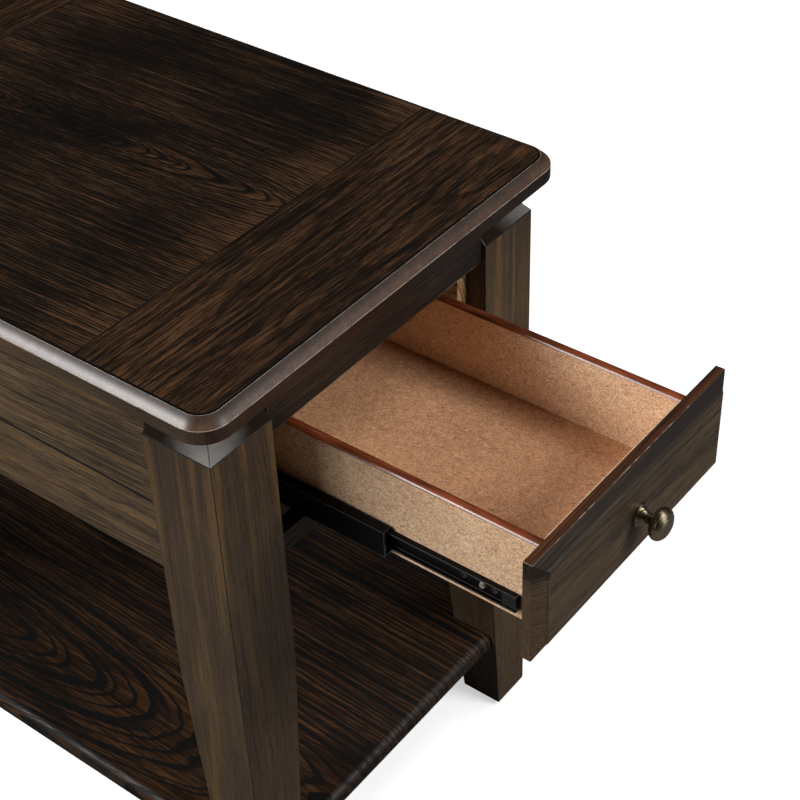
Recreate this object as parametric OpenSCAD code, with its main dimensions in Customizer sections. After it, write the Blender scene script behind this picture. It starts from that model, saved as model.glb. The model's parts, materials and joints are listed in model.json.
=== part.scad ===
// Narrow nightstand: thick bevelled top with breadboard ends, four tapered legs,
// two-board aprons, one drawer on full-extension ball slides, and a low shelf.
// Millimetres, +Z up, front towards -Y. The drawer stands open at rest.

/* [Overall] */
// Width over the edge of the top
table_w = 432; // [400:1:520]
// Depth over the edge of the top
table_d = 660; // [580:1:720]
// Height of the top surface above the floor
table_h = 635; // [560:1:760]

/* [Top] */
// Thickness of the top
top_t = 21; // [19:0.5:30]
// Width of the bevel around the top, seen from above
bevel_w = 8.3; // [6:0.1:9]
// Drop of the bevel around the top
bevel_drop = 7.8; // [5:0.1:10]
// How far the middle of that bevel swells
bevel_swell = 0.1; // [0:0.05:1]
// Radius of the top's corners, seen from above
top_corner_r = 25; // [22:1:30]
// Flat rim between the bevel and the boards
rim_w = 0.8; // [0.6:0.1:1.4]
// Depth of the fine grooves in the top and the aprons
groove_depth = 1.4; // [0.8:0.1:2]
// Width of a breadboard end, from the edge of the top to its joint
breadboard_w = 133.5; // [100:0.5:160]
// Softening of the lower outer edge of the top
under_edge = 1.5; // [0.5:0.1:3]

/* [Legs] */
// Side of a square leg
leg_w = 66; // [60:0.5:72]
// Distance from the edge of the top to the outer face of a leg
leg_setback = 17.7; // [12:0.1:24]
// Side of the tapered foot at the floor
foot_w = 43; // [34:0.5:56]
// Height at which the inner taper of a leg starts
taper_h = 332; // [250:1:400]
// Height of the cove under the top
cove_h = 33.5; // [20:0.5:40]
// Depth of the cove at the underside of the top
cove_in = 18; // [8:0.5:22]
// Radius of the cove
cove_r = 90; // [60:1:140]
// Diameter of a foot glide
glide_d = 24; // [16:1:30]
// Thickness of a foot glide
glide_t = 4; // [3:0.5:8]
// Length of the pin that holds a foot glide
glide_pin = 12; // [8:1:20]

/* [Aprons and rails] */
// Thickness of the side and back aprons
apron_t = 20; // [16:0.5:24]
// Distance from the outer face of a leg to the face of an apron or rail
apron_recess = 4; // [2:0.5:8]
// Height of the lower apron board
lower_board_h = 69; // [50:1:90]
// Height of the front rail above the drawer
front_rail_h = 52; // [46:0.5:60]
// Height of the front rail below the drawer
lower_rail_h = 21; // [18:0.5:28]
// Thickness of the two front rails
front_rail_t = 15; // [13:0.5:18]
// Softening of the lower edges of aprons and rails
arris = 2; // [1:0.5:3]
// Diameter of the wooden dowels
dowel_d = 8; // [6:0.5:9]
// Length of the wooden dowels
dowel_len = 36; // [28:1:40]
// Side of the square battens that hold the top
batten_w = 20; // [18:0.5:24]

/* [Shelf] */
// Height of the shelf's upper face above the floor
shelf_h = 106; // [90:1:160]
// Thickness of the shelf
shelf_t = 20; // [18:0.5:28]
// Distance from the outer face of a leg to the shelf's edge
shelf_setback = 5; // [2:0.5:10]
// Radius of the shelf's upper edge
shelf_nose_r = 8; // [4:0.5:10]

/* [Drawer] */
// Height of the drawer front
front_h = 94; // [90:0.5:104]
// Thickness of the drawer front at its edge
front_t = 8; // [7:0.5:12]
// Rise of the raised field above the edge
field_rise = 6.5; // [4:0.5:8]
// Width of the bevel around the raised field
field_bevel = 12; // [9:0.5:18]
// Gap beside the drawer front
side_gap = 3.3; // [2:0.1:4]
// Gap above the drawer front
upper_gap = 3; // [2:0.1:5]
// Gap below the drawer front
lower_gap = 4; // [2:0.1:6]
// How far the drawer stands open at rest
drawer_open = 227; // [120:1:260]
// Thickness of the drawer box's boards
side_t = 9; // [8:0.5:11]
// Length of the drawer box
box_len = 470; // [464:1:490]
// From the top of the front to the top of the box
box_drop = 11.5; // [10:0.5:14]
// From the bottom of the front up to the bottom of the box
box_lift = 1; // [0.5:0.5:3]
// Height of the rounded cap on each side
cap_h = 2.8; // [2:0.1:4]
// Thickness of the drawer bottom
bottom_t = 5; // [4:0.5:6]
// From the lower edge of a side to the drawer bottom
bottom_lift = 9; // [7:0.5:12]
// Depth of the groove that holds the drawer bottom
bottom_groove = 4; // [3:0.5:5]

/* [Knob] */
// Diameter of the knob's head
knob_d = 26.5; // [20:0.5:32]
// Thickness of the knob's head
knob_t = 14.5; // [8:0.5:15]
// From the field to the middle of the head
knob_reach = 18.25; // [17:0.25:24]
// Diameter of the knob's neck at its thinnest
knob_neck_d = 8.5; // [7:0.5:12]
// Diameter of the rose
rose_d = 19; // [16:0.5:22]
// Thickness of the rose
rose_t = 4.5; // [2.5:0.5:5]
// Diameter of the screw that holds the knob
knob_screw_d = 4; // [3:0.5:5]

/* [Drawer slides] */
// Length of the slides
slide_len = 450; // [440:1:455]
// Thickness of a slide
slide_t = 12.7; // [12.4:0.1:13.4]
// Height of the slide's case member
slide_h = 35; // [34:0.5:37]
// Thickness of the slide's steel
steel_t = 1.2; // [1:0.1:1.4]
// Diameter of the outer balls
outer_ball_d = 4; // [3.6:0.1:4.4]
// Diameter of the inner balls
inner_ball_d = 2.8; // [2.4:0.1:3.2]
// Play around each ball
ball_play = 0.1; // [0.05:0.01:0.15]
// Height of the slide's middle line above the drawer box's lower edge
slide_lift = 16.5; // [14:0.5:20]
// Front end of the slides, behind the face of the rails
slide_back = 28.5; // [22:0.5:34]
// Thickness of the wooden rail that carries a slide
cleat_t = 13; // [12:0.5:16]
// Height of the wooden rail that carries a slide
cleat_h = 118; // [100:1:120]
// From the bottom of the aprons up to the wooden rails that carry the slides
cleat_lift = 3; // [1:0.5:8]
// Thickness of the packer between that rail and the slide
packer_t = 7; // [6:0.5:9]

/* [Fits] */
// Clearance around dowels, screws and pins
pin_fit = 0.05; // [0.02:0.01:0.1]
// Clearance of boards in grooves and around the legs
board_fit = 0.4; // [0.2:0.05:0.6]
// Gap at butt joints that stay free
free_gap = 0.3; // [0.2:0.05:0.6]

/* [Hidden] */
$fn = 64;

// Small overlap that only cutting tools use
bite = 1;

// Heights
under_top = table_h - top_t;
rail_bottom_z = under_top - front_rail_h;
front_top_z = rail_bottom_z - upper_gap;
front_bottom_z = front_top_z - front_h;
lower_rail_top_z = front_bottom_z - lower_gap;
apron_bottom_z = lower_rail_top_z - lower_rail_h;
apron_split_z = apron_bottom_z + lower_board_h;
box_bottom_z = front_bottom_z + box_lift;
box_top_z = front_top_z - box_drop;
side_top_z = box_top_z - cap_h;
floor_z = box_bottom_z + bottom_lift;
slide_z = box_bottom_z + slide_lift;
cleat_z = apron_bottom_z + cleat_lift;

// Half widths from the middle plane
half_w = table_w / 2;
lip_w = bevel_w + rim_w;
board_half = half_w - lip_w;
leg_out = half_w - leg_setback;
leg_in = leg_out - leg_w;
apron_out = leg_out - apron_recess;
apron_in = apron_out - apron_t;
front_half = leg_in - side_gap;
cleat_in = leg_in - cleat_t;
slide_out = cleat_in - packer_t;
box_out = slide_out - slide_t;
box_in = box_out - side_t;

// Depths from the front edge of the top, with the drawer shut
leg_back_y = leg_setback + leg_w;
rail_face_y = leg_setback + apron_recess;
rail_back_y = rail_face_y + front_rail_t;
front_back_y = rail_face_y + front_t;
field_y = rail_face_y - field_rise;
box_back_y = front_back_y + box_len;
slide_y = rail_face_y + slide_back;
knob_z = (front_top_z + front_bottom_z) / 2;
knob_tip_y = field_y - knob_reach - knob_t / 2;

// The middle of the whole object's length at rest, which is the origin
origin_y = (table_d + knob_tip_y - drawer_open) / 2;

// Slide section, measured from the slide's middle line
outer_race = slide_h / 2 - steel_t;
outer_ball_v = outer_race - ball_play - outer_ball_d / 2;
mid_half = outer_ball_v - outer_ball_d / 2 - ball_play;
inner_ball_v = mid_half - steel_t - ball_play - inner_ball_d / 2;
inner_half = inner_ball_v - inner_ball_d / 2 - ball_play;
mid_web_u = steel_t + 1;
mid_lip_u = slide_t - 1.5;
case_lip_u = slide_t - 2.7;
inner_lip_u = slide_t - 4.7;
outer_ball_u = 6.5;
inner_ball_u = slide_t - 3.1;
cage_t = 0.6;
cage_gap = 0.2;
case_lip_h = 0.9;
mid_len = slide_len - 2;
balls = 6;
ball_pitch = 22;
cage_len = balls * ball_pitch;

// Screw sizes
wood_screw_r = 2;
slide_screw_r = 1.7;
slide_head_r = 3;
spare_hole_r = 2.2;
bumper_len = 13;
pan_head_h = 1.6;
knob_screw_head_h = 2.4;
// How deep the knob's screw reaches into the neck
knob_screw_grip = 6;
// Wood left in front of a screw's point
point_cover = 2;

// Catch in the front of the middle member, measured from the slide's front end
stop_start = 2;
stop_end = 14;
stop_t = 2.2;
stop_rim = 3;
stop_floor = 1;

// Screws and holes along a slide, as parts of its length
case_screw_spots = [0.08, 0.45, 0.9];
drawer_screw_spots = [0.071, 0.4, 0.89];
spare_hole_spots = [0.049, 0.109];

espresso_top = "#2e2119";
espresso = "#4a3c2f";
board_tan = "#b98d68";
cap_red = "#6e341c";
raw_wood = "#c2a27a";
steel_black = "#1d1d20";
zinc = "#b9bcc0";
pewter = "#5b564e";

function leg_inner(z) = leg_in + (leg_w - foot_w) * max(0, taper_h - z) / taper_h;
function leg_inner_y(z) = leg_back_y - (leg_w - foot_w) * max(0, taper_h - z) / taper_h;
function arc(cx, cy, r, a0, a1, n) =
    [for (i = [0 : n]) let (a = a0 + (a1 - a0) * i / n) [cx + r * cos(a), cy + r * sin(a)]];

module placed() {
    translate([0, -origin_y, 0]) children();
}
module on_drawer() {
    placed() translate([0, -drawer_open, 0]) children();
}
module on_mid() {
    placed() translate([0, -drawer_open / 2, 0]) children();
}
module on_outer_cage() {
    placed() translate([0, -drawer_open / 4, 0]) children();
}
module on_inner_cage() {
    placed() translate([0, -drawer_open * 3 / 4, 0]) children();
}
// Everything is drawn for the left side, and the right side is its mirror image
module side(s) {
    mirror([s > 0 ? 1 : 0, 0, 0]) children();
}
// Turns the back of the table into its front
module end(e) {
    translate([0, e > 0 ? table_d : 0, 0]) mirror([0, e > 0 ? 1 : 0, 0]) children();
}
// Extrudes a profile of X and Z along Y
module along_y(y0, y1) {
    translate([0, y1, 0]) rotate([90, 0, 0]) linear_extrude(y1 - y0) children();
}
// Extrudes a profile of Y and Z along X
module along_x(x0, x1) {
    translate([x0, 0, 0]) rotate([90, 0, 90]) linear_extrude(x1 - x0) children();
}
module block(x0, x1, y0, y1, z0, z1) {
    translate([x0, y0, z0]) cube([x1 - x0, y1 - y0, z1 - z0]);
}
module rod_x(x0, x1, y, z, r) {
    translate([x0, y, z]) rotate([0, 90, 0]) cylinder(h = x1 - x0, r = r);
}
module rod_y(x, y0, y1, z, r) {
    translate([x, y0, z]) rotate([-90, 0, 0]) cylinder(h = y1 - y0, r = r);
}
// Countersunk screw: head flush at the origin, point down the -Z axis
module screw(len, r, head_r, play = 0) {
    head_h = head_r - r;
    translate([0, 0, -head_h - play]) cylinder(h = head_h + play, r1 = r + play, r2 = head_r + play);
    // The shank reaches half way into the head, so that the two always join
    translate([0, 0, -len - play]) cylinder(h = len - head_h / 2, r = r + play);
}

// Section of the edge band: r is measured outwards, z from the underside
module band_section(outer) {
    inner = outer - lip_w;
    polygon(concat([[inner, 0], [outer - under_edge, 0], [outer, under_edge]],
        [for (t = [0 : 0.25 : 1]) let (swell = 4 * bevel_swell * t * (1 - t))
            [outer - bevel_w * t + swell, top_t - bevel_drop * (1 - t) + swell]],
        [[inner, top_t - groove_depth]]));
}
// Half a corner of the band, from the mitre to one straight length
module band_corner(turn) {
    rotate([0, 0, turn]) rotate_extrude(angle = 45) band_section(top_corner_r);
}
// One side of the band, with its outer edge on the X axis
module band(len) {
    translate([0, 0, under_top]) {
        along_x(top_corner_r, len - top_corner_r)
            translate([top_corner_r, 0]) mirror([1, 0]) band_section(top_corner_r);
        translate([top_corner_r, top_corner_r, 0]) band_corner(225);
        translate([len - top_corner_r, top_corner_r, 0]) band_corner(270);
    }
}
module front_band() {
    translate([-half_w, 0, 0]) band(table_w);
}
module side_band() {
    translate([-half_w, 0, 0]) mirror([1, -1, 0]) band(table_d);
}
module top_edge_front() {
    color(espresso_top) placed() front_band();
}
module top_edge_back() {
    color(espresso_top) placed() end(1) front_band();
}
module top_edge_left() {
    color(espresso_top) placed() side_band();
}
module top_edge_right() {
    color(espresso_top) placed() side(1) side_band();
}

// Places children at the six screws on the left side that hold the top
module top_screw_places() {
    reach = table_d - 2 * leg_back_y;
    for (i = [0 : 2])
        translate([-apron_in + batten_w / 2, leg_back_y + reach * (2 * i + 1) / 6, under_top - batten_w])
            rotate([180, 0, 0]) children();
}
module top_screw(play = 0) {
    screw(batten_w + top_t * 0.65, wood_screw_r, wood_screw_r * 2, play);
}
module top_screw_bores() {
    for (s = [-1, 1]) side(s) top_screw_places() top_screw(pin_fit);
}
module top_field() {
    y0 = breadboard_w;
    y1 = table_d - breadboard_w;
    color(espresso_top) placed() difference() {
        along_x(-board_half, board_half)
            polygon([[y0, under_top], [y1, under_top], [y1, table_h - groove_depth],
                [y1 - groove_depth / 2, table_h], [y0 + groove_depth / 2, table_h],
                [y0, table_h - groove_depth]]);
        top_screw_bores();
    }
}
module breadboard() {
    r = top_corner_r - lip_w;
    difference() {
        intersection() {
            translate([0, 0, under_top]) linear_extrude(top_t) union() {
                translate([-board_half, top_corner_r]) square([2 * board_half, breadboard_w - top_corner_r]);
                translate([-board_half + r, lip_w]) square([2 * (board_half - r), top_corner_r]);
                for (sx = [-1, 1]) translate([sx * (board_half - r), top_corner_r]) circle(r);
            }
            along_x(-half_w, half_w)
                polygon([[0, under_top], [breadboard_w, under_top], [breadboard_w, table_h - groove_depth],
                    [breadboard_w - groove_depth / 2, table_h], [0, table_h]]);
        }
        top_screw_bores();
    }
}
module breadboard_front() {
    color(espresso_top) placed() breadboard();
}
module breadboard_back() {
    color(espresso_top) placed() end(1) breadboard();
}
module top_batten(s) {
    difference() {
        side(s) block(-apron_in, -apron_in + batten_w, leg_back_y + free_gap, table_d - leg_back_y - free_gap,
            under_top - batten_w, under_top);
        top_screw_bores();
    }
}
module top_batten_left() {
    color(raw_wood) placed() top_batten(-1);
}
module top_batten_right() {
    color(raw_wood) placed() top_batten(1);
}
module top_screws() {
    color(zinc) placed() for (s = [-1, 1]) side(s) top_screw_places() top_screw();
}

// Dowels of one side, between the side aprons and a front leg
module side_dowels(play = 0) {
    half_len = dowel_len / 2 + (play > 0 ? bite : 0);
    x = -apron_out + apron_t / 2;
    board = under_top - apron_split_z;
    for (z = [apron_bottom_z + lower_board_h * 0.3, apron_bottom_z + lower_board_h * 0.7,
        apron_split_z + board * 0.25, apron_split_z + board * 0.75])
        rod_y(x, leg_back_y - half_len, leg_back_y + half_len, z, dowel_d / 2 + play);
}
// Dowels between the front rails and the left front leg
module front_dowels(play = 0) {
    half_len = dowel_len / 2 + (play > 0 ? bite : 0);
    for (z = [rail_bottom_z + front_rail_h * 0.28, rail_bottom_z + front_rail_h * 0.72,
        (apron_bottom_z + lower_rail_top_z) / 2])
        rod_x(-leg_in - half_len, -leg_in + half_len, rail_face_y + front_rail_t / 2, z, dowel_d / 2 + play);
}
// Dowels between the back aprons and the left back leg
module back_dowels(play = 0) {
    half_len = dowel_len / 2 + (play > 0 ? bite : 0);
    board = under_top - apron_split_z;
    for (z = [apron_bottom_z + lower_board_h * 0.3, apron_bottom_z + lower_board_h * 0.7,
        apron_split_z + board * 0.25, apron_split_z + board * 0.75])
        rod_x(-leg_in - half_len, -leg_in + half_len, table_d - rail_face_y - apron_t / 2, z,
            dowel_d / 2 + play);
}
// The dowel that holds the shelf to the left front leg
module shelf_dowel(play = 0) {
    z = shelf_h - shelf_t / 2;
    half_len = dowel_len / 2 + (play > 0 ? bite : 0);
    rod_x(-leg_inner(z) - half_len, -leg_inner(z) + half_len, leg_setback + foot_w / 2, z, dowel_d / 2 + play);
}
module apron_dowels() {
    color(raw_wood) placed() for (s = [-1, 1]) side(s) {
        side_dowels();
        end(1) side_dowels();
        front_dowels();
        back_dowels();
    }
}
module shelf_dowels() {
    color(raw_wood) placed() for (s = [-1, 1], e = [-1, 1]) side(s) end(e) shelf_dowel();
}

// Screws that hold a slide rail to the left front leg
module cleat_screw_places() {
    for (v = [-1, 1])
        translate([-cleat_in, (rail_back_y + leg_back_y) / 2, cleat_z + cleat_h / 2 + v * cleat_h * 0.38])
            rotate([0, 90, 0]) children();
}
module cleat_screw(play = 0) {
    screw(cleat_t + leg_w / 3, wood_screw_r, wood_screw_r * 2, play);
}
// Left front leg; the others are its mirror images
module leg(front) {
    chord = sqrt(cove_h * cove_h + cove_in * cove_in);
    depth = sqrt(cove_r * cove_r - chord * chord / 4);
    centre_in = cove_in / 2 - depth * cove_h / chord;
    centre_up = -cove_h / 2 + depth * cove_in / chord;
    taper = [[leg_in, glide_t - bite], [leg_in, taper_h],
        [leg_inner(0) + (leg_in - leg_inner(0)) * (glide_t - bite) / taper_h, glide_t - bite]];
    difference() {
        block(-leg_out, -leg_in, leg_setback, leg_back_y, glide_t, under_top);
        along_y(0, leg_back_y + bite)
            polygon([[-leg_in + bite, -bite], [-leg_in + bite, taper_h], [-leg_in, taper_h],
                [-leg_inner(-bite), -bite]]);
        along_x(-leg_out - bite, -leg_in + bite)
            polygon([[leg_back_y + bite, -bite], [leg_back_y + bite, taper_h], [leg_back_y, taper_h],
                [leg_inner_y(-bite), -bite]]);
        rod_x(-leg_out - bite, -leg_in + bite, leg_setback + centre_in, under_top + centre_up, cove_r, $fn = 128);
        rod_y(-leg_out + centre_in, leg_setback - bite, leg_back_y + bite, under_top + centre_up, cove_r, $fn = 128);
        side_dowels(pin_fit);
        if (front) front_dowels(pin_fit);
        if (!front) end(1) back_dowels(pin_fit);
        shelf_dowel(pin_fit);
        cleat_screw_places() cleat_screw(pin_fit);
        translate([-leg_out + foot_w / 2, leg_setback + foot_w / 2, glide_t - bite])
            cylinder(h = bite + glide_pin, r = glide_d / 6 + pin_fit);
    }
}
module leg_front_left() {
    color(espresso) placed() leg(true);
}
module leg_front_right() {
    color(espresso) placed() side(1) leg(true);
}
module leg_back_left() {
    color(espresso) placed() end(1) leg(false);
}
module leg_back_right() {
    color(espresso) placed() side(1) end(1) leg(false);
}
module foot_glides() {
    color(steel_black) placed() for (s = [-1, 1], e = [-1, 1]) side(s) end(e)
        translate([-leg_out + foot_w / 2, leg_setback + foot_w / 2, 0]) {
            cylinder(h = glide_t, r = glide_d / 2);
            translate([0, 0, glide_t]) cylinder(h = glide_pin - 1, r = glide_d / 6);
        }
}

// Upper apron board: w is measured inwards from its face
module upper_board_section() {
    polygon([[0, apron_split_z + groove_depth], [groove_depth / 2, apron_split_z], [apron_t, apron_split_z],
        [apron_t, under_top], [0, under_top]]);
}
module lower_board_section() {
    polygon([[arris, apron_bottom_z], [apron_t, apron_bottom_z], [apron_t, apron_split_z],
        [groove_depth / 2, apron_split_z], [0, apron_split_z - groove_depth], [0, apron_bottom_z + arris]]);
}
module side_board(s) {
    difference() {
        side(s) along_y(leg_back_y, table_d - leg_back_y) translate([-apron_out, 0]) children();
        side(s) side_dowels(pin_fit);
        side(s) end(1) side_dowels(pin_fit);
    }
}
module back_board() {
    difference() {
        end(1) along_x(-leg_in, leg_in) translate([rail_face_y, 0]) children();
        for (s = [-1, 1]) side(s) back_dowels(pin_fit);
    }
}
module apron_upper_left() {
    color(espresso) placed() side_board(-1) upper_board_section();
}
module apron_upper_right() {
    color(espresso) placed() side_board(1) upper_board_section();
}
module apron_lower_left() {
    color(espresso) placed() side_board(-1) lower_board_section();
}
module apron_lower_right() {
    color(espresso) placed() side_board(1) lower_board_section();
}
module apron_upper_back() {
    color(espresso) placed() back_board() upper_board_section();
}
module apron_lower_back() {
    color(espresso) placed() back_board() lower_board_section();
}
module front_rail(z0, z1) {
    difference() {
        along_x(-leg_in, leg_in)
            polygon([[rail_face_y + arris, z0], [rail_back_y, z0], [rail_back_y, z1],
                [rail_face_y, z1], [rail_face_y, z0 + arris]]);
        for (s = [-1, 1]) side(s) front_dowels(pin_fit);
    }
}
module front_rail_top() {
    color(espresso) placed() front_rail(rail_bottom_z, under_top);
}
module front_rail_bottom() {
    color(espresso) placed() front_rail(apron_bottom_z, lower_rail_top_z);
}

// Section of the shelf between two rounded edges
module shelf_section(a0, a1) {
    foot_r = shelf_nose_r * 0.7;
    z0 = shelf_h - shelf_t;
    polygon(concat(
        arc(a0 + foot_r, z0 + foot_r, foot_r, 180, 270, 4),
        arc(a1 - foot_r, z0 + foot_r, foot_r, 270, 360, 4),
        arc(a1 - shelf_nose_r, shelf_h - shelf_nose_r, shelf_nose_r, 0, 90, 6),
        arc(a0 + shelf_nose_r, shelf_h - shelf_nose_r, shelf_nose_r, 90, 180, 6)));
}
module shelf_panel() {
    out = leg_out - shelf_setback;
    y0 = leg_setback + shelf_setback;
    notch_x = leg_inner(shelf_h) - board_fit;
    notch_y = leg_inner_y(shelf_h) + board_fit;
    color(espresso_top) placed() difference() {
        intersection() {
            along_y(0, table_d) shelf_section(-out, out);
            along_x(-half_w, half_w) shelf_section(y0, table_d - y0);
        }
        for (s = [-1, 1], e = [-1, 1]) side(s) end(e) {
            block(-half_w, -notch_x, 0, notch_y, 0, shelf_h + bite);
            shelf_dowel(pin_fit);
        }
    }
}

// Slide rails
module cleat(s) {
    side(s) difference() {
        block(-leg_in, -cleat_in, rail_back_y + free_gap, table_d - rail_face_y - apron_t - free_gap,
            cleat_z, cleat_z + cleat_h);
        for (e = [-1, 1]) end(e) cleat_screw_places() cleat_screw(pin_fit);
        case_screw_places() case_screw(pin_fit);
    }
}
module slide_cleat_left() {
    color(raw_wood) placed() cleat(-1);
}
module slide_cleat_right() {
    color(raw_wood) placed() cleat(1);
}
module packer(s) {
    side(s) difference() {
        block(-cleat_in, -slide_out, slide_y, slide_y + slide_len, slide_z - slide_h / 2, slide_z + slide_h / 2);
        case_screw_places() case_screw(pin_fit);
    }
}
module slide_packer_left() {
    color(espresso_top) placed() packer(-1);
}
module slide_packer_right() {
    color(espresso_top) placed() packer(1);
}
module cleat_screws() {
    color(zinc) placed() for (s = [-1, 1], e = [-1, 1]) side(s) end(e) cleat_screw_places() cleat_screw();
}
// Screws through the case member into the slide rail
module case_screw_places() {
    for (f = case_screw_spots)
        translate([-slide_out + steel_t, slide_y + slide_len * f, slide_z]) rotate([0, 90, 0]) children();
}
module case_screw(play = 0) {
    screw(steel_t + packer_t + cleat_t * 0.7, slide_screw_r, slide_head_r, play);
}
module slide_case_screws() {
    color(zinc) placed() for (s = [-1, 1]) side(s) case_screw_places() case_screw();
}
// Screws through the drawer member into the drawer's side
module drawer_screw_places() {
    for (f = drawer_screw_spots)
        translate([-box_out - steel_t, slide_y + slide_len * f, slide_z]) rotate([0, -90, 0]) children();
}
// Pan head above the steel, shank down the -Z axis
module pan_screw(play = 0) {
    if (play == 0) cylinder(h = pan_head_h, r1 = slide_head_r, r2 = slide_head_r * 0.75);
    translate([0, 0, -steel_t - side_t + point_cover - play])
        cylinder(h = steel_t + side_t - point_cover + play + (play > 0 ? bite : 0), r = slide_screw_r + play);
}
module slide_drawer_screws() {
    color(zinc) on_drawer() for (s = [-1, 1]) side(s) drawer_screw_places() pan_screw();
}

// A channel with its web at u0 and its flanges reaching to u1; v is the half height
module channel(u0, u1, v) {
    translate([u0 < u1 ? u0 : u0 - steel_t, -v]) square([steel_t, 2 * v]);
    for (m = [-1, 1])
        translate([min(u0, u1), m > 0 ? v - steel_t : -v]) square([abs(u1 - u0), steel_t]);
}
// Puts a slide section, drawn from the slide rail towards the drawer, in its place
module slide_section(y0, y1) {
    along_y(y0, y1) translate([-slide_out, slide_z]) children();
}
module case_member(s) {
    side(s) difference() {
        slide_section(slide_y, slide_y + slide_len) union() {
            channel(0, case_lip_u, slide_h / 2);
            for (m = [-1, 1])
                translate([case_lip_u - steel_t, m > 0 ? outer_race - case_lip_h : -outer_race])
                    square([steel_t, case_lip_h]);
        }
        case_screw_places() case_screw(pin_fit);
    }
}
module slide_case_left() {
    color(steel_black) placed() case_member(-1);
}
module slide_case_right() {
    color(steel_black) placed() case_member(1);
}
module mid_member(s) {
    side(s) slide_section(slide_y + 1, slide_y + 1 + mid_len) channel(mid_web_u, mid_lip_u, mid_half);
}
module slide_mid_left() {
    color(steel_black) on_mid() mid_member(-1);
}
module slide_mid_right() {
    color(steel_black) on_mid() mid_member(1);
}
// Plastic end stop in the front of the middle member
module stop(s) {
    height = inner_half + 1;
    side(s) difference() {
        slide_section(slide_y + stop_start, slide_y + stop_end)
            translate([mid_web_u + steel_t, -height]) square([stop_t, 2 * height]);
        slide_section(slide_y + stop_start + stop_rim, slide_y + stop_end - stop_rim)
            translate([mid_web_u + steel_t + stop_floor, -inner_half / 2]) square([stop_t, inner_half]);
    }
}
module slide_stop_left() {
    color("#6f7175") on_mid() stop(-1);
}
module slide_stop_right() {
    color("#6f7175") on_mid() stop(1);
}
module drawer_member(s) {
    side(s) difference() {
        slide_section(slide_y + 1, slide_y + 1 + mid_len) channel(slide_t, inner_lip_u, inner_half);
        drawer_screw_places() pan_screw(pin_fit);
        for (f = spare_hole_spots)
            rod_x(-box_out - 2 * steel_t, -box_out + bite, slide_y + slide_len * f, slide_z, spare_hole_r);
    }
}
// Plastic bumper in the front of the drawer member
module bumper(s) {
    v = inner_half - steel_t;
    side(s) slide_section(slide_y + 1, slide_y + bumper_len)
        polygon([[inner_lip_u, -v + 2], [inner_lip_u + 2, -v], [slide_t - steel_t, -v],
            [slide_t - steel_t, v], [inner_lip_u, v]]);
}
module slide_bumper_left() {
    color(steel_black) on_drawer() bumper(-1);
}
module slide_bumper_right() {
    color(steel_black) on_drawer() bumper(1);
}
module slide_drawer_left() {
    color(steel_black) on_drawer() drawer_member(-1);
}
module slide_drawer_right() {
    color(steel_black) on_drawer() drawer_member(1);
}
// Ball cage: a folded strip with a row of balls in each edge
module cage(u_web, u_end, v_ball, u_ball, ball_d, y0) {
    difference() {
        slide_section(y0, y0 + cage_len) union() {
            translate([u_web, -v_ball - cage_t / 2]) square([cage_t, 2 * v_ball + cage_t]);
            for (m = [-1, 1]) translate([u_web, m * v_ball - cage_t / 2]) square([u_end - u_web, cage_t]);
        }
        for (m = [-1, 1], i = [0 : balls - 1])
            translate([-slide_out + u_ball, y0 + ball_pitch * (i + 0.5), slide_z + m * v_ball - bite])
                cylinder(h = 2 * bite, r = ball_d / 2 + ball_play);
    }
    for (m = [-1, 1], i = [0 : balls - 1])
        translate([-slide_out + u_ball, y0 + ball_pitch * (i + 0.5), slide_z + m * v_ball])
            sphere(r = ball_d / 2);
}
// The cages run in the middle of the stretch that both members share
outer_cage_y = slide_y + slide_len / 2 - cage_len / 2;
module outer_cage(s) {
    side(s) cage(steel_t + cage_gap, outer_ball_u + outer_ball_d / 2 + 1, outer_ball_v, outer_ball_u, outer_ball_d,
        outer_cage_y);
}
module inner_cage(s) {
    side(s) cage(mid_web_u + steel_t + 2.6, inner_ball_u + inner_ball_d / 2 + 0.4, inner_ball_v, inner_ball_u,
        inner_ball_d, outer_cage_y);
}
module cage_outer_left() {
    color(zinc) on_outer_cage() outer_cage(-1);
}
module cage_outer_right() {
    color(zinc) on_outer_cage() outer_cage(1);
}
module cage_inner_left() {
    color(zinc) on_inner_cage() inner_cage(-1);
}
module cage_inner_right() {
    color(zinc) on_inner_cage() inner_cage(1);
}

// Rise of the front's face at each distance from its edge, as [distance, rise]
face_steps = [[0, 0], [field_bevel - 2, field_rise - 2], [field_bevel - 0.7, field_rise - 0.9],
    [field_bevel, field_rise]];
// Outline of the front's section across a width, with the face towards -Y
function face_outline(a0, a1, back) = concat(
    [[a1, back], [a0, back]],
    [for (p = face_steps) [a0 + p[0], rail_face_y - p[1]]],
    [for (i = [len(face_steps) - 1 : -1 : 0]) [a1 - face_steps[i][0], rail_face_y - face_steps[i][1]]]);
module drawer_front() {
    color(espresso) on_drawer() difference() {
        intersection() {
            translate([0, 0, front_bottom_z]) linear_extrude(front_h)
                polygon(face_outline(-front_half, front_half, front_back_y));
            along_x(-front_half, front_half)
                polygon([for (p = face_outline(front_bottom_z, front_top_z, front_back_y)) [p[1], p[0]]]);
        }
        knob_screw_shape(pin_fit);
        front_screw_places() front_screw(pin_fit);
    }
}
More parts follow.
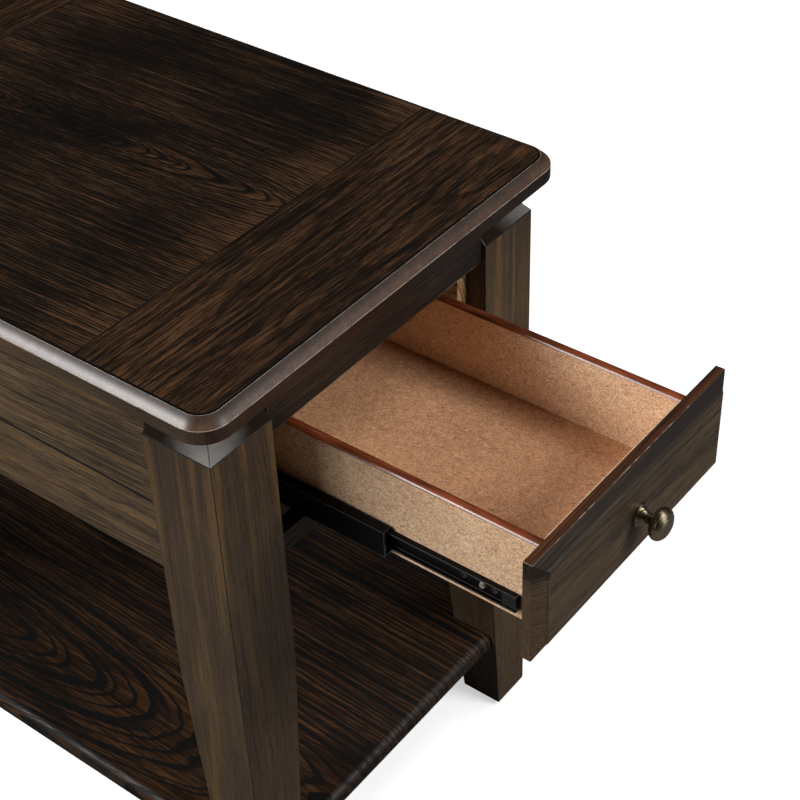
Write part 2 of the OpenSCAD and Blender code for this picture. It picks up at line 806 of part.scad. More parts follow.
// Screws from inside the box into the front
module front_screw_places() {
    for (sx = [-1, 1], v = [0.3, 0.7])
        translate([sx * box_in * 0.7, front_back_y + side_t,
            floor_z + bottom_t + (side_top_z - floor_z - bottom_t) * v])
            rotate([-90, 0, 0]) children();
}
module front_screw(play = 0) {
    screw(side_t + front_t - point_cover, wood_screw_r, wood_screw_r * 2, play);
}
module front_screws() {
    color(zinc) on_drawer() front_screw_places() front_screw();
}
module bottom_space() {
    block(-box_in - bottom_groove, box_in + bottom_groove, front_back_y + side_t - bottom_groove,
        box_back_y + bite, floor_z, floor_z + bottom_t);
}
module drawer_box_front() {
    color(board_tan) on_drawer() difference() {
        block(-box_in, box_in, front_back_y, front_back_y + side_t, box_bottom_z, side_top_z);
        bottom_space();
        knob_screw_shape(pin_fit);
        front_screw_places() front_screw(pin_fit);
    }
}
module drawer_box_back() {
    color(board_tan) on_drawer()
        block(-box_in, box_in, box_back_y - side_t, box_back_y, floor_z + bottom_t, side_top_z);
}
module drawer_side(s) {
    difference() {
        side(s) block(-box_out, -box_in, front_back_y, box_back_y, box_bottom_z, side_top_z);
        bottom_space();
        side(s) drawer_screw_places() pan_screw(pin_fit);
    }
}
module drawer_side_left() {
    color(board_tan) on_drawer() drawer_side(-1);
}
module drawer_side_right() {
    color(board_tan) on_drawer() drawer_side(1);
}
module cap(s) {
    // The cap's section is the part of a circle above its flat
    r = (side_t * side_t / 4 + cap_h * cap_h) / (2 * cap_h);
    side(s) along_y(front_back_y, box_back_y) translate([-(box_out + box_in) / 2, side_top_z])
        intersection() {
            translate([-side_t / 2, 0]) square([side_t, cap_h]);
            translate([0, cap_h - r]) circle(r);
        }
}
module drawer_cap_left() {
    color(cap_red) on_drawer() cap(-1);
}
module drawer_cap_right() {
    color(cap_red) on_drawer() cap(1);
}
module drawer_bottom() {
    color(board_tan) on_drawer()
        block(-box_in - bottom_groove + board_fit, box_in + bottom_groove - board_fit,
            front_back_y + side_t - bottom_groove + board_fit, box_back_y, floor_z, floor_z + bottom_t);
}

// Turned parts of the knob: r is the radius, h the distance in front of the field
module turned() {
    translate([0, field_y, knob_z]) rotate([90, 0, 0]) rotate_extrude() children();
}
knob_screw_len = rose_t + field_rise + front_t + side_t + knob_screw_grip;
module knob_screw_shape(play = 0) {
    head_y = front_back_y + side_t;
    translate([0, head_y, knob_z]) rotate([90, 0, 0])
        translate([0, 0, -bite * (play > 0 ? 1 : 0)])
            cylinder(h = knob_screw_len + (play > 0 ? 2 * bite : 0), r = knob_screw_d / 2 + play);
}
module knob_screw() {
    color(zinc) on_drawer() {
        knob_screw_shape();
        translate([0, front_back_y + side_t, knob_z]) rotate([-90, 0, 0])
            cylinder(h = knob_screw_head_h, r1 = knob_screw_d, r2 = knob_screw_d * 0.8);
    }
}
module knob_rose() {
    color(pewter) on_drawer() difference() {
        turned() polygon([[0, 0], [rose_d / 2, 0], [rose_d / 2, rose_t * 0.45], [rose_d / 2 - 0.8, rose_t * 0.6],
            [rose_d / 2 - 2, rose_t * 0.6], [rose_d / 2 - 2.4, rose_t * 0.9], [rose_d / 2 - 3, rose_t],
            [0, rose_t]]);
        knob_screw_shape(pin_fit);
    }
}
module knob() {
    neck = knob_neck_d / 2;
    rear = knob_reach - knob_t * 0.45;
    color(pewter) on_drawer() difference() {
        turned() union() {
            polygon([[0, rose_t], [neck + 1.6, rose_t], [neck + 1.2, rose_t + 1.4], [neck, rose_t + 2.6],
                [neck, rear - 2], [neck + 1.5, rear], [neck + 2, knob_reach], [0, knob_reach]]);
            polygon(concat([[0, knob_reach]],
                [for (a = [-90 : 15 : 90])
                    [knob_d / 2 * pow(max(cos(a), 0), 0.75),
                        knob_reach + (a < 0 ? knob_t * 0.45 : knob_t * 0.5) * sin(a)]]));
        }
        knob_screw_shape(pin_fit);
    }
}

top_field();
breadboard_front();
breadboard_back();
top_edge_front();
top_edge_back();
top_edge_left();
top_edge_right();
leg_front_left();
leg_front_right();
leg_back_left();
leg_back_right();
apron_upper_left();
apron_upper_right();
apron_lower_left();
apron_lower_right();
apron_upper_back();
apron_lower_back();
front_rail_top();
front_rail_bottom();
apron_dowels();
shelf_panel();
shelf_dowels();
foot_glides();
top_batten_left();
top_batten_right();
top_screws();
slide_cleat_left();
slide_cleat_right();
slide_packer_left();
slide_packer_right();
cleat_screws();
slide_case_left();
slide_case_right();
slide_case_screws();
slide_mid_left();
slide_mid_right();
slide_stop_left();
slide_stop_right();
cage_outer_left();
cage_outer_right();
cage_inner_left();
cage_inner_right();
slide_drawer_left();
slide_drawer_right();
slide_bumper_left();
slide_bumper_right();
slide_drawer_screws();
drawer_front();
drawer_box_front();
drawer_box_back();
drawer_side_left();
drawer_side_right();
drawer_cap_left();
drawer_cap_right();
drawer_bottom();
front_screws();
knob();
knob_rose();
knob_screw();
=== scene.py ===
import json
import math

import bmesh
import bpy
from mathutils import Matrix, Vector


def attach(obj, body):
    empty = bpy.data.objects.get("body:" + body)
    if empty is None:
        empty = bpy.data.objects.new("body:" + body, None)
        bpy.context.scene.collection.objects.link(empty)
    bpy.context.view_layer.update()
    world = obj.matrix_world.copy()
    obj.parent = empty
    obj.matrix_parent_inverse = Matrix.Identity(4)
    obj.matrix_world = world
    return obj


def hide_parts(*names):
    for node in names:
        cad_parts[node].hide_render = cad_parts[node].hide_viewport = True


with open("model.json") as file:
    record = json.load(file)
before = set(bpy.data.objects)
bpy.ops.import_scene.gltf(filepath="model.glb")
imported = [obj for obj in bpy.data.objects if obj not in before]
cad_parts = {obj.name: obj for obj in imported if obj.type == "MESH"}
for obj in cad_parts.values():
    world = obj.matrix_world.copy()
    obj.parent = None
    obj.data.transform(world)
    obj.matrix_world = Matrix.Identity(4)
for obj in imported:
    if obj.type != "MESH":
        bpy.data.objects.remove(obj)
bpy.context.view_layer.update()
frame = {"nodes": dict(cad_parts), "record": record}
MM = 0.001


# Where a node's own points begin and end along an axis, in metres
def lowest(node, axis):
    return min(v.co["xyz".index(axis)] for v in frame["nodes"][node].data.vertices)


def highest(node, axis):
    return max(v.co["xyz".index(axis)] for v in frame["nodes"][node].data.vertices)


# The top: its upper and lower faces, half its width and length, its middle, and its corner radius
TABLE_TOP = highest("top_field", "z")
UNDER_TOP = lowest("top_field", "z")
TOP_HALF = highest("top_edge_right", "x")
TOP_REACH = (highest("top_edge_back", "y") - lowest("top_edge_front", "y")) / 2
TOP_MIDDLE = (highest("top_edge_back", "y") + lowest("top_edge_front", "y")) / 2
TOP_CORNER = 25 * MM

# The heights between which the band's bevel turns less glossy and darker, as it nears the groove;
# the darkening is painted shade
BEVEL_HEIGHTS = (TABLE_TOP - 5.5 * MM, TABLE_TOP - 1 * MM)

# The legs' outer faces, from the table's middle, and a height just below their coves
LEG_HALF = highest("leg_front_right", "x")
LEG_REACH = highest("leg_back_right", "y") - TOP_MIDDLE
BELOW_COVES = UNDER_TOP - 33.7 * MM

# The height of the groove between the two boards of an apron
APRON_GROOVE = lowest("apron_upper_left", "z")

# The drawer front's outline: its top, its bottom, half its width and its back
FRONT_TOP = highest("drawer_front", "z")
FRONT_BOTTOM = lowest("drawer_front", "z")
FRONT_HALF = highest("drawer_front", "x")
FRONT_BACK = highest("drawer_front", "y")

# The outer face of the drawer's sides, and the strip of it behind the slide that is painted dark as
# shade
BOX_HALF = highest("drawer_side_right", "x")
SLIDE_SHADE_BOTTOM = lowest("slide_drawer_right", "z") - 0.1 * MM
SLIDE_SHADE_TOP = highest("slide_drawer_right", "z") + 0.1 * MM

# Sockets of the colour mix, which share their names with others of the same node
MIX_FACTOR, MIX_FIRST, MIX_SECOND, MIX_RESULT = 0, 6, 7, 2


# Sums on sockets, written as Python
class Value:
    def __init__(self, finish, socket):
        self.finish = finish
        self.socket = socket

    def __add__(self, other):
        return self.finish.maths("ADD", self, other)

    def __radd__(self, other):
        return self.finish.maths("ADD", other, self)

    def __sub__(self, other):
        return self.finish.maths("SUBTRACT", self, other)

    def __rsub__(self, other):
        return self.finish.maths("SUBTRACT", other, self)

    def __mul__(self, other):
        return self.finish.maths("MULTIPLY", self, other)

    def __rmul__(self, other):
        return self.finish.maths("MULTIPLY", other, self)

    def __truediv__(self, other):
        return self.finish.maths("DIVIDE", self, other)

    def __rtruediv__(self, other):
        return self.finish.maths("DIVIDE", other, self)

    def __pow__(self, other):
        return self.finish.maths("POWER", self, other)


# A material in the making. Its spot is the place on the table as three values in metres, and a
# mottle is noise with the given number of waves in a metre.
class Finish:
    def __init__(self, name):
        self.material = bpy.data.materials.new(name)
        self.material.use_nodes = True
        self.tree = self.material.node_tree
        self.tree.nodes.clear()
        self.place = self.node("ShaderNodeTexCoord", output="Object")
        parted = self.node("ShaderNodeSeparateXYZ", inputs={"Vector": self.place})
        self.spot = [Value(self, out) for out in parted.socket.node.outputs]

    def node(self, kind, settings=None, inputs=None, output=0):
        made = self.tree.nodes.new(kind)
        for key, setting in (settings or {}).items():
            setattr(made, key, setting)
        for key, given in (inputs or {}).items():
            socket = made.inputs[key]
            if isinstance(given, Value):
                self.tree.links.new(given.socket, socket)
            else:
                socket.default_value = given
        return Value(self, made.outputs[output]) if made.outputs else None

    def maths(self, operation, *terms, clamp=False):
        return self.node("ShaderNodeMath", {"operation": operation, "use_clamp": clamp},
                         dict(enumerate(terms)))

    def unsigned(self, value):
        return self.maths("ABSOLUTE", value)

    def join(self, x, y, z):
        return self.node("ShaderNodeCombineXYZ", inputs={"X": x, "Y": y, "Z": z})

    def noise(self, vector, scale=1.0, detail=2, roughness=0.5, distortion=0.0):
        return self.node("ShaderNodeTexNoise",
                         inputs={"Vector": vector, "Scale": scale, "Detail": detail,
                                 "Roughness": roughness, "Distortion": distortion})

    def mottle(self, waves_x, waves_y, waves_z, **look):
        x, y, z = self.spot
        return self.noise(self.join(x * waves_x, y * waves_y, z * waves_z), **look)

    def even_mottle(self, waves, **look):
        return self.mottle(waves, waves, waves, **look)

    def steps(self, value, low, high):
        # 0 below low and 1 above high, with a smooth rise between them
        return self.node("ShaderNodeMapRange", {"interpolation_type": "SMOOTHSTEP"},
                         {"Value": value, "From Min": low, "From Max": high})

    def mix(self, factor, first, second):
        return self.node("ShaderNodeMix", {"data_type": "RGBA"},
                         {MIX_FACTOR: factor, MIX_FIRST: first, MIX_SECOND: second}, MIX_RESULT)

    def shades(self, tone, light, mid, dark):
        # Light at 0, mid at 0.5 and dark at 1
        upper = self.mix(self.maths("MULTIPLY", tone, 2, clamp=True), srgb(*light), srgb(*mid))
        return self.mix(self.maths("SUBTRACT", tone * 2, 1, clamp=True), upper, srgb(*dark))

    def worn_edge(self, width):
        # 1 on the outer edges of a piece and 0 on its flats, for a width in millimetres
        flat = self.node("ShaderNodeNewGeometry", output="Normal")
        soft = self.node("ShaderNodeBevel", {"samples": 4}, {"Radius": width * MM})
        agree = self.node("ShaderNodeVectorMath", {"operation": "DOT_PRODUCT"}, {0: flat, 1: soft},
                          "Value")
        return self.steps(1 - agree, 0.01, 0.16)

    def bump(self, height, depth, strength):
        # The depth is in millimetres
        return self.node("ShaderNodeBump", inputs={"Height": height, "Distance": depth * MM,
                                                   "Strength": strength})

    def surface(self, **inputs):
        sockets = {key.replace("_", " "): given for key, given in inputs.items()}
        shader = self.node("ShaderNodeBsdfPrincipled", inputs=sockets)
        self.node("ShaderNodeOutputMaterial", inputs={"Surface": shader})
        return self.material


def srgb(red, green, blue):
    def linear(c):
        c /= 255.0
        return c / 12.92 if c <= 0.04045 else ((c + 0.055) / 1.055) ** 2.4
    return (linear(red), linear(green), linear(blue), 1.0)


# Waves in a metre of each pattern in the wood, across the grain and along it
WAVES = {"sway": (11, 3.2), "tremble": (90, 30), "pores": (1250, 70), "fibres": (900, 20),
         "bands": (170, 4), "clouds": (12, 7), "warm streaks": (62, 3)}

# How far the growth rings wander along the log, how far they waver, and how fast their taper
# fades beside the heart
RINGS_WANDER = 18 * MM
RINGS_WAVER = 3 * MM
TAPER_FADE = 420

# Uneven widths of the rings: waves in a metre, and by how many rings these and the sway move
# them. The extra rings keep their count above 0.
YEAR_WAVES = 110
YEAR_RINGS = 3.2
SWAY_RINGS = 2.4
EXTRA_RINGS = 40

# How much the rings, fibres, bands and clouds change the depth of the stain
RING_DEPTH, FIBRE_DEPTH, BAND_DEPTH, CLOUD_DEPTH = 0.32, 2.6, 1.1, 1.4


# Open-pored wood under a dark stain. The log's heart runs nearly along the board and passes the
# given place, in metres; the growth rings around it have the given width in millimetres. Lean is
# how fast the heart sinks along the board, skew how fast it drifts sideways, and taper how fast
# the rings close in along it, which draws pointed arches. Figure, streaks, clouds and pores say
# how much of each shows, and base is the depth of the stain, from 0 for light to 1 for dark.
def stained_wood(name, along, heart, shades, ring, seed, lean=0.0, skew=0.0, taper=0.0,
                 figure=1.0, streaks=1.0, clouds=1.0, pores=1.0, base=0.44, gloss=0.34,
                 edge=None, edge_width=0.8, darker_between=None, warm=None):
    f = Finish(name)
    run = "xyz".index(along)
    side, rise = [axis for axis in range(3) if axis != run]
    v = f.spot[run] - heart[run]
    u = f.spot[side] - heart[side] + v * skew
    w = f.spot[rise] - heart[rise] + v * lean

    def pattern(kind, moved, **look):
        # Noise drawn out along the grain, which the seed moves along the named axes
        across, lengthwise = WAVES[kind]
        spot = {"u": u * across, "w": w * across, "v": v * lengthwise}
        for axis in moved:
            spot[axis] = spot[axis] + seed
        return f.noise(f.join(*spot.values()), **look)

    # Growth rings around the heart
    sway = pattern("sway", "uv", detail=3)
    tremble = pattern("tremble", "w", detail=3, roughness=0.6)
    near = u + (tremble - 0.5) * RINGS_WAVER
    deep = w + (sway - 0.5) * RINGS_WANDER
    radius = (near * near + deep * deep) ** 0.5
    if taper:
        radius = radius - v * taper / (1 + u * u * TAPER_FADE)
    years = f.noise(f.join(radius * YEAR_WAVES, seed, seed), detail=1)
    rings = (radius / (ring * MM) + (sway - 0.5) * SWAY_RINGS + (years - 0.5) * YEAR_RINGS
             + EXTRA_RINGS)
    part = f.maths("FRACT", rings)
    porous = f.steps(part, 0.0, 0.08) * (1 - f.steps(part, 0.18, 0.6)) * figure
    # Pores drawn out along the grain, crowded in the porous part of each ring
    dash = pattern("pores", "u", detail=2, roughness=0.65)
    pore = f.steps(dash + porous * 0.16, 0.57, 0.66) * pores
    fibre = pattern("fibres", "w", detail=4, roughness=0.75)
    band = pattern("bands", "u", detail=4, roughness=0.65)
    cloud = pattern("clouds", "w", detail=3)
    tone = (base + porous * RING_DEPTH + (fibre - 0.5) * (FIBRE_DEPTH * streaks)
            + (band - 0.5) * (BAND_DEPTH * streaks) + (cloud - 0.5) * (CLOUD_DEPTH * clouds))
    if darker_between:
        # Between two places along an axis the colour grows darker by the given amount: a stronger
        # stain, and on the legs painted shade under the top
        axis, start, end, amount = darker_between
        tone = tone + f.steps(f.spot["xyz".index(axis)], start, end) * amount
    colour = f.shades(tone, *shades)
    if warm:
        # Wide streaks where the stain let a warmer colour through
        wide = pattern("warm streaks", "u", detail=3, roughness=0.6)
        colour = f.mix(f.steps(wide, 0.52, 0.66) * 0.5, colour, srgb(*warm))
    colour = f.mix(pore * 0.9, colour, srgb(*[c * 0.45 for c in shades[2]]))
    if edge:
        colour = f.mix(f.worn_edge(edge_width) * 0.85, colour, srgb(*edge))
    return f.surface(Base_Color=colour, Roughness=gloss + pore * 0.2 + (fibre - 0.5) * 0.15,
                     Normal=f.bump(1 - pore * 0.9, 0.1, 0.5), Specular_IOR_Level=0.25)


# Rubbed dark lacquer on the band's bevel, where hardly any grain shows, with painted shade towards
# the groove
def rubbed_bevel(name, gloss, coat, shine):
    f = Finish(name)
    speck = f.even_mottle(1100, roughness=0.7)
    smear = f.even_mottle(120, detail=3)
    cloud = f.even_mottle(18)
    dull_and_painted_shade = f.steps(f.spot[2], *BEVEL_HEIGHTS)
    # Near the groove the bevel turns less glossy, and its colour darker as painted shade
    tone = 0.4 + (speck - 0.5) * 1.1 + (smear - 0.5) * 0.5 + (cloud - 0.5) * 0.4 + dull_and_painted_shade * 0.35
    return f.surface(Base_Color=f.shades(tone, *BEVEL_SHADES),
                     Roughness=gloss + (smear - 0.5) * 0.03 + dull_and_painted_shade * 0.22,
                     Specular_IOR_Level=shine, Normal=f.bump(smear, 0.02, 0.4),
                     Coat_Weight=coat * (1 - dull_and_painted_shade), Coat_Roughness=0.22)


# How far the painted silver shine in the coves reaches from the mitre, and how ragged its end is
PAINTED_SHEEN_REACH = 46 * MM
PAINTED_SHEEN_FRAY = 12 * MM


# Dark lacquer in the coves of the legs, with a silver shine painted beside the mitre: a painted
# reflection
def cove_with_painted_sheen(name):
    f = Finish(name)
    smear = f.even_mottle(160, detail=3)
    speck = f.even_mottle(1000)
    beyond_x = f.unsigned(f.spot[0]) - LEG_HALF
    beyond_y = f.unsigned(f.spot[1] - TOP_MIDDLE) - LEG_REACH
    from_mitre = f.unsigned(beyond_x - beyond_y) + (smear - 0.5) * PAINTED_SHEEN_FRAY
    # Painted reflection: the base colour turns silver grey near the mitre
    painted_sheen = 1 - f.steps(from_mitre, 0.0, PAINTED_SHEEN_REACH)
    dark = f.mix(speck, srgb(22, 18, 15), srgb(44, 36, 30))
    return f.surface(Base_Color=f.mix(painted_sheen * 0.7, dark, srgb(132, 127, 122)),
                     Roughness=0.42 - painted_sheen * 0.1, Specular_IOR_Level=0.0,
                     Normal=f.bump(smear, 0.02, 0.4), Coat_Weight=painted_sheen * 0.5, Coat_Roughness=0.3)


# Arrises: thin lines rubbed lighter or left darker than the wood beside them; the light lines on
# the band are a painted highlight. The share says how much of the line is light.
def rubbed_arris(name, light, dark, share, gloss=0.3):
    f = Finish(name)
    patch = f.even_mottle(70, detail=4, roughness=0.65)
    rubbed = f.steps(patch, 0.62 - share * 0.3, 0.72 - share * 0.3)
    return f.surface(Base_Color=f.mix(rubbed, srgb(*dark), srgb(*light)),
                     Roughness=gloss + (patch - 0.5) * 0.2, Normal=f.bump(patch, 0.04, 0.5))


# Dark glaze left in the grooves
def groove_glaze(name):
    f = Finish(name)
    crumb = f.even_mottle(700)
    return f.surface(Base_Color=f.mix(crumb, srgb(7, 6, 5), srgb(15, 12, 10)),
                     Roughness=0.5 + (crumb - 0.5) * 0.3, Specular_IOR_Level=0.1,
                     Normal=f.bump(crumb, 0.05, 0.5))


# Board of short wood fibres under a thin matt lacquer, with or without painted shade on the strip
# behind the slide
def fibre_board(name, shades, shaded_behind_slide=False):
    f = Finish(name)
    x, y, z = f.spot
    bend = f.noise(f.place, 75)
    hairs = f.noise(f.join(x * 760 + bend * 18, y * 520 - bend * 16, z * 760 + bend * 18),
                    detail=3, roughness=0.75, distortion=1.6)
    flakes = f.mottle(170, 130, 170, detail=3, roughness=0.65, distortion=0.8)
    cloud = f.mottle(15, 11, 15)
    tone = 0.47 + (hairs - 0.5) * 5.0 + (flakes - 0.5) * 0.9 + (cloud - 0.5) * 0.5
    colour = f.shades(tone, *shades)
    chips = f.steps(f.noise(f.join(x * 300, y * 210 + 3, z * 300), detail=1), 0.77, 0.82)
    colour = f.mix(chips * 0.7, colour, srgb(78, 48, 32))
    # Painted shade: the outer face behind the slide's drawer member turns dark, so its holes look
    # dark
    if shaded_behind_slide:
        above = f.steps(z, SLIDE_SHADE_BOTTOM, SLIDE_SHADE_BOTTOM + MM)
        beyond = f.steps(z, SLIDE_SHADE_TOP - MM, SLIDE_SHADE_TOP)
        outside = f.steps(f.unsigned(x), BOX_HALF - 0.4 * MM, BOX_HALF - 0.2 * MM)
        colour = f.mix((above - beyond) * outside * 0.95, colour, srgb(22, 18, 15))
    return f.surface(Base_Color=colour, Roughness=0.62 + (hairs - 0.5) * 0.2,
                     Normal=f.bump(hairs * 0.6 + flakes * 0.4, 0.2, 0.6))


# Reddish edging on the drawer's sides, with a hard shine and small scuffs
def red_edging(name):
    f = Finish(name)
    fine = f.mottle(900, 30, 900, detail=3, roughness=0.6)
    cloud = f.mottle(60, 18, 60, detail=3)
    tone = 0.5 + (fine - 0.5) * 1.4 + (cloud - 0.5) * 1.6
    scuffs = f.steps(f.mottle(380, 120, 380), 0.68, 0.76)
    colour = f.mix(scuffs * 0.4, f.shades(tone, *EDGING_SHADES), srgb(170, 120, 90))
    return f.surface(Base_Color=colour, Roughness=0.36 + (fine - 0.5) * 0.12 + scuffs * 0.2,
                     Normal=f.bump(fine, 0.05, 0.6), Coat_Weight=1.0, Coat_Roughness=0.2,
                     Coat_Tint=(1.0, 0.86, 0.74, 1))


# Black coat on the slides, with dust, and with edges rubbed down to the metal
def black_coat(name):
    f = Finish(name)
    drawn = f.mottle(1600, 24, 1600)
    dust = f.steps(f.even_mottle(620), 0.68, 0.78)
    rub = f.worn_edge(0.5)
    colour = f.mix(drawn, srgb(4, 4, 5), srgb(10, 10, 11))
    colour = f.mix(dust * 0.25, colour, srgb(70, 70, 72))
    colour = f.mix(rub * 0.8, colour, srgb(190, 190, 192))
    return f.surface(Base_Color=colour, Roughness=0.34 + dust * 0.3 + (drawn - 0.5) * 0.1,
                     Metallic=rub * 0.6, Normal=f.bump(drawn, 0.03, 0.5), Specular_IOR_Level=0.12)


# Plated or cast metal, slightly clouded
def clouded_metal(name, light, dark, roughness):
    f = Finish(name)
    cloud = f.even_mottle(120, detail=3)
    fine = f.even_mottle(900)
    tone = f.maths("ADD", (cloud - 0.5) * 1.4 + (fine - 0.5) * 0.5, 0.5, clamp=True)
    return f.surface(Base_Color=f.mix(tone, srgb(*light), srgb(*dark)), Metallic=1.0,
                     Roughness=roughness + (cloud - 0.5) * 0.16, Normal=f.bump(fine, 0.02, 0.5))


# Moulded plastic with the fine grain of its mould
def moulded(name, light, dark, roughness):
    f = Finish(name)
    fine = f.even_mottle(1400)
    cloud = f.even_mottle(90)
    tone = f.maths("ADD", (cloud - 0.5) + (fine - 0.5) * 0.6, 0.5, clamp=True)
    return f.surface(Base_Color=f.mix(tone, srgb(*light), srgb(*dark)),
                     Roughness=roughness + (fine - 0.5) * 0.2, Normal=f.bump(fine, 0.05, 0.6))


# Light, mid and dark shades of each stain and board, as the numbers 0 to 255 of a picture
TOP_SHADES = ((84, 58, 38), (31, 21, 14), (7, 6, 4))
BAND_ACROSS_SHADES = ((68, 46, 33), (44, 29, 21), (23, 15, 11))
BAND_ALONG_SHADES = ((90, 68, 48), (61, 47, 35), (34, 26, 20))
BEVEL_SHADES = ((112, 84, 66), (68, 49, 38), (32, 23, 18))
LEG_SHADES = ((98, 78, 54), (70, 55, 40), (38, 30, 22))
APRON_SHADES = ((118, 94, 66), (80, 63, 45), (30, 23, 17))
RAIL_SHADES = ((48, 35, 25), (23, 18, 14), (10, 8, 7))
SHELF_SHADES = ((80, 53, 31), (33, 22, 14), (7, 5, 4))
RAW_SHADES = ((204, 168, 122), (176, 138, 96), (140, 104, 68))
PACKER_SHADES = ((40, 30, 25), (26, 19, 16), (14, 11, 9))
FRONT_SHADES = ((96, 76, 54), (68, 54, 39), (34, 27, 20))
FRONT_FRAME_SHADES = ((102, 80, 56), (80, 62, 45), (30, 21, 14))
FRONT_TOP_SHADES = ((96, 58, 36), (58, 33, 20), (28, 16, 11))
BOX_SHADES = ((255, 226, 190), (236, 190, 148), (168, 122, 88))
BOTTOM_SHADES = ((240, 184, 138), (206, 153, 113), (144, 99, 69))
EDGING_SHADES = ((160, 88, 54), (114, 57, 32), (54, 24, 14))

# Finishes of the top
field_wood = stained_wood("field_wood", "y", (0.024, -0.078, 0.623), TOP_SHADES, ring=3.2,
                          seed=3.1, taper=0.17, skew=0.03, clouds=0.8, base=0.2,
                          darker_between=("y", -0.075, -0.015, 0.3))
breadboard_wood = stained_wood("breadboard_wood", "x", (0.11, -0.18, 0.588), TOP_SHADES, ring=4.2,
                               seed=8.4, lean=-0.03, skew=0.02, figure=0.5, clouds=0.5,
                               pores=0.85, base=0.39)
band_face_across = stained_wood("band_face_across", "x", (0.0, 0.5, 0.45), BAND_ACROSS_SHADES,
                                ring=4.5, seed=1.7, figure=0.4, streaks=0.7, pores=0.4,
                                darker_between=("x", -0.2, -0.1, 0.3))
band_face_along = stained_wood("band_face_along", "y", (-0.35, 0.0, 0.45), BAND_ALONG_SHADES,
                               ring=4.5, seed=5.2, figure=0.4, streaks=0.7, pores=0.4)
band_bevel = rubbed_bevel("band_bevel", gloss=0.3, coat=0.36, shine=0.36)
bevel_across = rubbed_bevel("bevel_across", gloss=0.36, coat=0.06, shine=0.24)
# Light grey lines on the band's arrises: a painted highlight along its eased edges
band_arris_highlight = rubbed_arris("band_arris_highlight", (150, 140, 130), (104, 94, 86), 0.8, 0.24)
dark_glaze = groove_glaze("dark_glaze")

# Finishes of the case
# The legs turn darker towards the top: painted shade under the table top
leg_wood = stained_wood("leg_wood", "z", (-0.30, -0.475, 0.3), LEG_SHADES, ring=2.6, seed=6.9,
                        lean=0.01, figure=0.35, streaks=0.55, clouds=0.5, pores=0.45, gloss=0.48,
                        edge=(18, 14, 11), warm=(112, 84, 50), darker_between=("z", 0.48, 0.58, 0.2))
cove_lacquer_and_painted_sheen = cove_with_painted_sheen("cove_lacquer_and_painted_sheen")
leg_arris = rubbed_arris("leg_arris", (60, 46, 32), (16, 13, 10), 0.1)
worn_arris = rubbed_arris("worn_arris", (128, 116, 102), (60, 48, 36), 0.4)
apron_wood = stained_wood("apron_wood", "y", (-0.16, 0.075, 0.47), APRON_SHADES, ring=3.6,
                          seed=2.2, lean=0.05, figure=0.55, clouds=0.5, pores=0.6, gloss=0.46,
                          warm=(120, 90, 54))
rail_wood = stained_wood("rail_wood", "x", (0.05, -0.155, 0.50), RAIL_SHADES, ring=4.0, seed=7.7,
                         lean=0.04, figure=0.7, gloss=0.46, edge=(104, 76, 52), edge_width=1.6)
shelf_wood = stained_wood("shelf_wood", "y", (-0.124, 0.125, 0.085), SHELF_SHADES, ring=6.0,
                          seed=4.4, taper=0.2, figure=1.6, clouds=0.8, gloss=0.42)
raw_wood = stained_wood("raw_wood", "y", (-0.3, 0.0, 0.40), RAW_SHADES, ring=3.6, seed=2.9,
                        gloss=0.7)
# The packers are stained dark as painted shade for the dark gap beside the slides
packer_wood = stained_wood("packer_wood", "y", (-0.3, 0.0, 0.40), PACKER_SHADES, ring=3.6,
                           seed=1.9, gloss=0.6)

# Finishes of the drawer and its slides
front_wood = stained_wood("front_wood", "x", (0.0, -0.305, 0.49), FRONT_SHADES, ring=3.4,
                          seed=9.1, lean=0.02, figure=0.5, streaks=0.8, clouds=0.6, pores=0.7,
                          gloss=0.44)
front_frame = stained_wood("front_frame", "x", (0.0, -0.4, 0.47), FRONT_FRAME_SHADES, ring=3.4,
                           seed=4.0, figure=0.5, streaks=0.6, clouds=0.6, pores=0.5, base=0.4,
                           gloss=0.5, darker_between=("z", FRONT_TOP - 27 * MM, FRONT_TOP - 9 * MM, 0.6))
front_top_wood = stained_wood("front_top_wood", "x", (0.0, -0.38, 0.53), FRONT_TOP_SHADES,
                              ring=3.0, seed=4.6, figure=0.6, streaks=0.9, clouds=0.8, pores=0.4,
                              gloss=0.4)
box_board = fibre_board("box_board", BOX_SHADES, shaded_behind_slide=True)
floor_board = fibre_board("floor_board", BOTTOM_SHADES)
cap_finish = red_edging("cap_finish")
slide_black = black_coat("slide_black")
zinc = clouded_metal("zinc_plating", (236, 228, 208), (196, 186, 164), 0.46)
pewter = clouded_metal("dark_pewter", (172, 156, 132), (118, 104, 86), 0.27)
black_plastic = moulded("black_plastic", (22, 22, 23), (12, 12, 13), 0.42)
grey_plastic = moulded("grey_plastic", (70, 71, 73), (40, 41, 43), 0.4)

# Points closer than these are one: in a single piece, and where two sides of the band meet
SAME_POINT = 0.002 * MM
SAME_MITRE_POINT = 0.004 * MM

# Edges that turn less than the first angle lie in one flat, those that turn less than the second
# are shaded smooth, and those that turn more than the third are eased, or on a board of the top
# only those that turn more than the last
FLAT_TURN = math.radians(0.6)
SMOOTH_TURN = math.radians(38)
EASED_TURN = math.radians(24)
SQUARE_TURN = math.radians(80)

# How far the edges of each kind of piece are eased, in millimetres
RIM_EASE = 1.4
BAND_EASE = 0.35
LEG_EASE = 0.7
APRON_EASE = 0.7
RAIL_EASE = 0.8
SHELF_EASE = 0.8
FRONT_EASE = 0.45
BOX_EASE = 0.4
BOTTOM_EASE = 0.3
STRIP_EASE = 0.6

# The shortest edges that are eased, in millimetres
SHORTEST_EDGE = 3.0
SHORTEST_RIM = 0.2
SHORTEST_BAND_EDGE = 0.1

